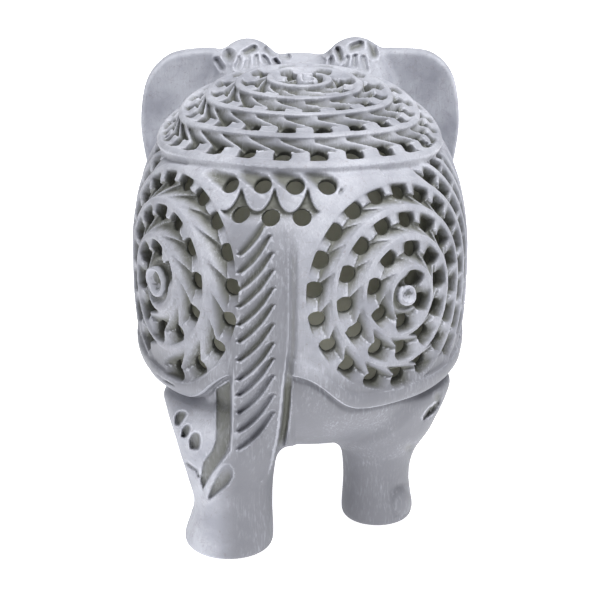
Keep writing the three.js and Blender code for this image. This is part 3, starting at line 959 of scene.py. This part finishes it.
    def build(self) -> None:
        """Carves everything in order."""
        self.body()
        self.head()
        self.ears()
        self.face()
        self.relief()
        self.tail()
        self.panel_petals()
        self.head_pits()
        self.hollow()
        self.cells()
        self.rosettes()
        self.panel()

    def nearest(self, field_values: Array, points: Array) -> Array:
        """A field's values at the samples nearest to points."""
        near = np.round((points - self.block.low) / self.block.step).astype(int)
        i, j, k = np.clip(near, 0, np.array(field_values.shape) - 1).T
        return field_values[i, j, k]

    def mesh(self, name: str) -> bpy.types.Object:
        """The stone's skin, thinned to about MOST_TRIANGLES triangles, with the marks that its material
        reads.

        Args:
            name: what the piece is called.

        Returns:
            The piece, without a material.
        """
        piece = self._skin(name)
        self._mark_skin(piece.data)
        log.info("kept %d triangles", len(piece.data.polygons))
        return piece

    def _skin(self, name: str) -> bpy.types.Object:
        """The skin as a smooth mesh, coarser where it is hardly seen: inside and in front."""
        grid = vdb.FloatGrid()
        grid.background = 3.0
        grid.copyFromArray(np.clip(self.block.value, -3, 3).astype(np.float32), tolerance=0.0)
        points, quads = grid.convertToQuads(isovalue=0.0)
        points = (points * self.block.step + self.block.low).astype(np.float32)
        data = bpy.data.meshes.new(name)
        data.vertices.add(len(points))
        data.vertices.foreach_set("co", (points * MM).ravel())
        data.loops.add(quads.size)
        data.loops.foreach_set("vertex_index", quads.astype(np.int32).ravel())
        data.polygons.add(len(quads))
        data.polygons.foreach_set("loop_start", np.arange(0, quads.size, 4, dtype=np.int32))
        data.update(calc_edges=True)
        log.info("skin: %d points, %d quads", len(points), len(quads))
        piece = bpy.data.objects.new(name, data)
        bpy.context.scene.collection.objects.link(piece)
        inner = (self.nearest(self.level, points) < -COARSE_DEPTH) | (points[:, 1] < COARSE_FRONT_Y)
        kept = 1 - COARSE_LOSS * float(inner.mean())
        group = piece.vertex_groups.new(name="coarse")
        group.add(np.nonzero(inner)[0].tolist(), 1.0, "REPLACE")
        for label, ratio in (("coarse", kept), ("thin", min(1.0, MOST_TRIANGLES / (2 * len(quads) * kept)))):
            thin = piece.modifiers.new(label, "DECIMATE")
            thin.ratio = ratio
            thin.use_collapse_triangulate = True
        piece.modifiers["coarse"].vertex_group = "coarse"
        shaped = piece.evaluated_get(bpy.context.evaluated_depsgraph_get())
        done = bpy.data.meshes.new_from_object(shaped)
        piece.modifiers.clear()
        piece.data = done
        done.name = name
        done.polygons.foreach_set("use_smooth", np.ones(len(done.polygons), bool))
        done.update()
        return piece

    def _mark_skin(self, done: bpy.types.Mesh) -> None:
        """Sets the normals, and how deep and worn each place of the skin is, with the masks for dust and
        painted shade in recesses, painted shade in pits and on the rear, and painted light in the cavity.
        """
        spots = np.empty(len(done.vertices) * 3, np.float32)
        done.vertices.foreach_get("co", spots)
        spots = spots.reshape(-1, 3) / MM
        reach = self.block.step * 0.75
        slopes = []
        bulge = -6 * self.block.sample(spots)
        for axis in range(3):
            shift = np.zeros(3)
            shift[axis] = reach
            above, below = self.block.sample(spots + shift), self.block.sample(spots - shift)
            slopes.append(above - below)
            bulge += above + below
        normals = np.stack(slopes, axis=1).astype(float)
        normals /= np.maximum(np.linalg.norm(normals, axis=1, keepdims=True), 1e-6)
        deep = -self.nearest(self.skin, spots)
        # Depth below the carved skin: it darkens scoops and holes as olive dust and as painted shade.
        recess = smoothstep(0.1, 1.25, deep)
        # The cavity's walls, which take a paler colour as painted light.
        inside = smoothstep(SHELL - 0.5, SHELL + 1.0, -self.nearest(self.level, spots))
        inside[spots[:, 1] < CAVITY_FRONT_Y - 2] = 0
        # Painted shade on the floors of the deep pits and holes outside the cavity.
        pit = smoothstep(1.4, 2.3, deep) * (1 - inside)
        # Painted shade on skin facing backwards over the rear half: weaker high up, away from the tail above
        # the legs, and on the left leg's outer side.
        rear_shade = smoothstep(-0.3, 0.3, normals[:, 1]) * smoothstep(0, 24, spots[:, 1])
        rear_shade *= 1 - 0.55 * smoothstep(62, 76, spots[:, 2])
        tail_gap = np.abs(np.arctan2(spots[:, 0], spots[:, 1] - BODY.centre[1]) - TAIL_AROUND)
        rear_shade *= 1 - 0.55 * smoothstep(0.14, 0.2, tail_gap) * smoothstep(38, 44, spots[:, 2])
        rear_shade *= 1 - smoothstep(12, 18, spots[:, 0]) * (1 - smoothstep(24, 40, spots[:, 2]))
        marks = {"recess": recess, "inside": inside, "pit": pit, "bulge": bulge / reach, "rear_shade": rear_shade}
        for label, values in marks.items():
            attribute = done.attributes.new(label, "FLOAT", "POINT")
            attribute.data.foreach_set("value", values.astype(np.float32))
        done.normals_split_custom_set_from_vertices(normals.tolist())


def to_linear(hex_colour: str) -> tuple[float, float, float, float]:
    """An sRGB hex colour as linear red, green, blue and alpha."""
    parts = [int(hex_colour[i : i + 2], 16) / 255 for i in (1, 3, 5)]
    linear = [c / 12.92 if c <= 0.04045 else ((c + 0.055) / 1.055) ** 2.4 for c in parts]
    return (*linear, 1.0)


@dataclass(frozen=True)
class Soapstone:
    """Grey soapstone, carved by hand: matte, with olive dust and painted shade in the scoops, painted shade
    in deep pits and on the rear, a paler cavity as painted light, and pale worn edges.
    """

    pale: str = "#A2A4AC"
    deep: str = "#84868F"
    fleck: str = "#6E6466"
    # Olive dust and painted shade in the scoops.
    dust_and_shade: str = "#505149"
    # Painted shade on the rear, low down and round the tail.
    rear_shade: str = "#5F6066"
    # Painted shade on the floors of the deep pits.
    pit_shade: str = "#45463F"
    # Painted light: the cavity's walls are paler than the outer stone, in place of light that gets inside.
    hollow: str = "#B4B4A6"
    worn: str = "#BCBEC8"
    vein_mm: float = 9.0
    fleck_mm: float = 0.9
    hatch_mm: float = 0.4

    def material(self) -> bpy.types.Material:
        """The stone's node material, on Object coordinates and the piece's own attributes."""
        material = bpy.data.materials.new("Soapstone, hand carved")
        material.use_nodes = True
        tree = material.node_tree
        shader = tree.nodes["Principled BSDF"]
        # Talc-rich stone: a broad soft sheen, no mirror gloss.
        for name, value in (("Roughness", 0.6), ("IOR", 1.55), ("Specular IOR Level", 0.35)):
            shader.inputs[name].default_value = value
        place = add_node(tree, "ShaderNodeTexCoord").outputs["Object"]
        cloud = self._noise(tree, place, self.vein_mm, 5.0, 0.6)
        veins = self._noise(tree, place, self.vein_mm * 0.5, 3.0, 0.5, distortion=1.8)
        flecks = self._noise(tree, place, self.fleck_mm, 2.0, 0.6)
        marks = ("recess", "inside", "pit", "rear_shade", "bulge")
        recess, inside, pit, rear_shade, bulge = (self._mark(tree, name) for name in marks)
        vein_lines = self._range(tree, self._distance(tree, veins, 0.5), 0.018, 0.0)
        layers = [
            (self._times(tree, vein_lines, 0.28), self.fleck),
            (self._times(tree, self._range(tree, flecks, 0.63, 0.74), 0.4), self.fleck),
            # Painted shade on the rear, low down and round the tail.
            (self._times(tree, rear_shade, 0.9), self.rear_shade),
            # Scoops and holes darkened by dust and painted shade.
            (self._times(tree, recess, 0.92), self.dust_and_shade),
            # Painted shade on the floors of the deep pits.
            (self._times(tree, pit, 0.75), self.pit_shade),
            # Painted light: the paler colour of the cavity's walls.
            (inside, self.hollow),
            (self._times(tree, self._range(tree, bulge, 0.5, 1.7), 0.45), self.worn),
        ]
        clouds = self._range(tree, cloud, 0.35, 0.65)
        stone = self._mix(tree, clouds, to_linear(self.deep), to_linear(self.pale))
        for share, colour in layers:
            stone = self._mix(tree, share, stone, to_linear(colour))
        grain = self._noise(tree, place, 0.5, 3.0, 0.7)
        bump = {"Strength": 0.35, "Distance": 0.12 * MM, "Height": grain}
        first = add_node(tree, "ShaderNodeBump", bump)
        turned = {"Vector": place, "Rotation": (0.9, 1.1, 0.5), "Scale": (1.0, 1.0, 0.16)}
        along = add_node(tree, "ShaderNodeMapping", turned).outputs["Vector"]
        scratches = self._noise(tree, along, self.hatch_mm, 2.0, 0.6)
        fine_lines = self._range(tree, scratches, 0.5, 0.7)
        streaks = self._times(tree, fine_lines, self._range(tree, cloud, 0.4, 0.6))
        stone = self._mix(tree, self._times(tree, streaks, 0.2), stone, to_linear(self.worn))
        tree.links.new(stone, shader.inputs["Base Color"])
        cuts = self._times(tree, scratches, self._range(tree, cloud, 0.35, 0.6))
        carved = {"Strength": 0.55, "Distance": 0.14 * MM, "Height": cuts, "Normal": first.outputs[0]}
        second = add_node(tree, "ShaderNodeBump", carved)
        tree.links.new(second.outputs[0], shader.inputs["Normal"])
        return material

    def _mark(self, tree: Tree, name: str) -> Socket:
        """One of the piece's own attributes."""
        return add_node(tree, "ShaderNodeAttribute", attribute_name=name).outputs["Fac"]

    def _noise(
        self, tree: Tree, place: Socket, size_mm: float, detail: float, rough: float, distortion: float = 0.0
    ) -> Socket:
        """Noise whose blobs are about size_mm across."""
        values = {"Vector": place, "Scale": 1 / (size_mm * MM), "Detail": detail, "Roughness": rough}
        values["Distortion"] = distortion
        return add_node(tree, "ShaderNodeTexNoise", values).outputs["Fac"]

    def _range(self, tree: Tree, value: Socket, low: float, high: float) -> Socket:
        """The value spread from 0 at low to 1 at high."""
        values = {"Value": value, "From Min": low, "From Max": high}
        return add_node(tree, "ShaderNodeMapRange", values).outputs["Result"]

    def _times(self, tree: Tree, a: object, b: object) -> Socket:
        """One value times another."""
        return add_node(tree, "ShaderNodeMath", {0: a, 1: b}, operation="MULTIPLY").outputs[0]

    def _distance(self, tree: Tree, value: Socket, centre: float) -> Socket:
        """How far the value is from centre."""
        apart = add_node(tree, "ShaderNodeMath", {0: value, 1: centre}, operation="SUBTRACT").outputs[0]
        return add_node(tree, "ShaderNodeMath", {0: apart}, operation="ABSOLUTE").outputs[0]

    def _mix(self, tree: Tree, share: Socket, a: object, b: object) -> Socket:
        """Colour a, turned to colour b by share."""
        node = add_node(tree, "ShaderNodeMix", data_type="RGBA")
        for index, value in ((0, share), (6, a), (7, b)):
            put(tree, node.inputs[index], value)
        return node.outputs[2]


def put(tree: Tree, socket: Socket, value: object) -> None:
    """Links a socket to value, or sets it."""
    if isinstance(value, bpy.types.NodeSocket):
        tree.links.new(value, socket)
    else:
        socket.default_value = value


def add_node(tree: Tree, kind: str, inputs: dict | None = None, **settings: object) -> bpy.types.Node:
    """A new node with its settings and inputs, each a value or a socket to link."""
    node = tree.nodes.new(kind)
    for name, value in settings.items():
        setattr(node, name, value)
    for name, value in (inputs or {}).items():
        put(tree, node.inputs[name], value)
    return node


FLOOR_HALF = 3.0  # metres
WORLD_STRENGTH = 0.52
# Each light's name, its place and width in metres and its power in watts.
LIGHTS = (
    ("key", (-0.14, 0.2, 0.66), 0.35, 6.8),
    ("fill", (0.5, 0.3, 0.3), 0.6, 0.9),
)
LIGHT_AIM = (0, 0.01, 0.045)
PAPER = {
    "Base Color": to_linear("#F7F7F8"),
    "Roughness": 0.9,
    "Emission Color": (1, 1, 1, 1),
    "Emission Strength": 0.9,
}


def studio() -> None:
    """A pale floor and soft light."""
    world = bpy.data.worlds.new("studio")
    bpy.context.scene.world = world
    world.use_nodes = True
    background = world.node_tree.nodes["Background"].inputs
    background["Color"].default_value = (1, 1, 1, 1)
    background["Strength"].default_value = WORLD_STRENGTH
    bpy.context.scene.view_settings.view_transform = "Standard"
    mesh = bpy.data.meshes.new("floor")
    wide = FLOOR_HALF
    corners = [(-wide, -wide, 0), (wide, -wide, 0), (wide, wide, 0), (-wide, wide, 0)]
    mesh.from_pydata(corners, [], [(0, 1, 2, 3)])
    floor = bpy.data.objects.new("floor", mesh)
    bpy.context.scene.collection.objects.link(floor)
    paper = bpy.data.materials.new("White paper floor")
    paper.use_nodes = True
    shader = paper.node_tree.nodes["Principled BSDF"]
    for name, value in PAPER.items():
        shader.inputs[name].default_value = value
    mesh.materials.append(paper)
    for name, place, size, power in LIGHTS:
        data = bpy.data.lights.new(name, "AREA")
        data.size = size
        data.energy = power
        light = bpy.data.objects.new(name, data)
        light.location = place
        aim = Vector(place) - Vector(LIGHT_AIM)
        light.rotation_euler = aim.to_track_quat("Z", "Y").to_euler()
        bpy.context.scene.collection.objects.link(light)


def main() -> None:
    """Builds the elephant and the room round it."""
    logging.basicConfig(level=logging.INFO, format="%(relativeCreated)d %(message)s")
    elephant = Elephant(STEP)
    elephant.build()
    piece = elephant.mesh("elephant_stone")
    piece.data.materials.append(Soapstone().material())
    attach(piece, "root")
    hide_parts("elephant")
    studio()
    VIEW.place()


if __name__ == "__main__":
    main()
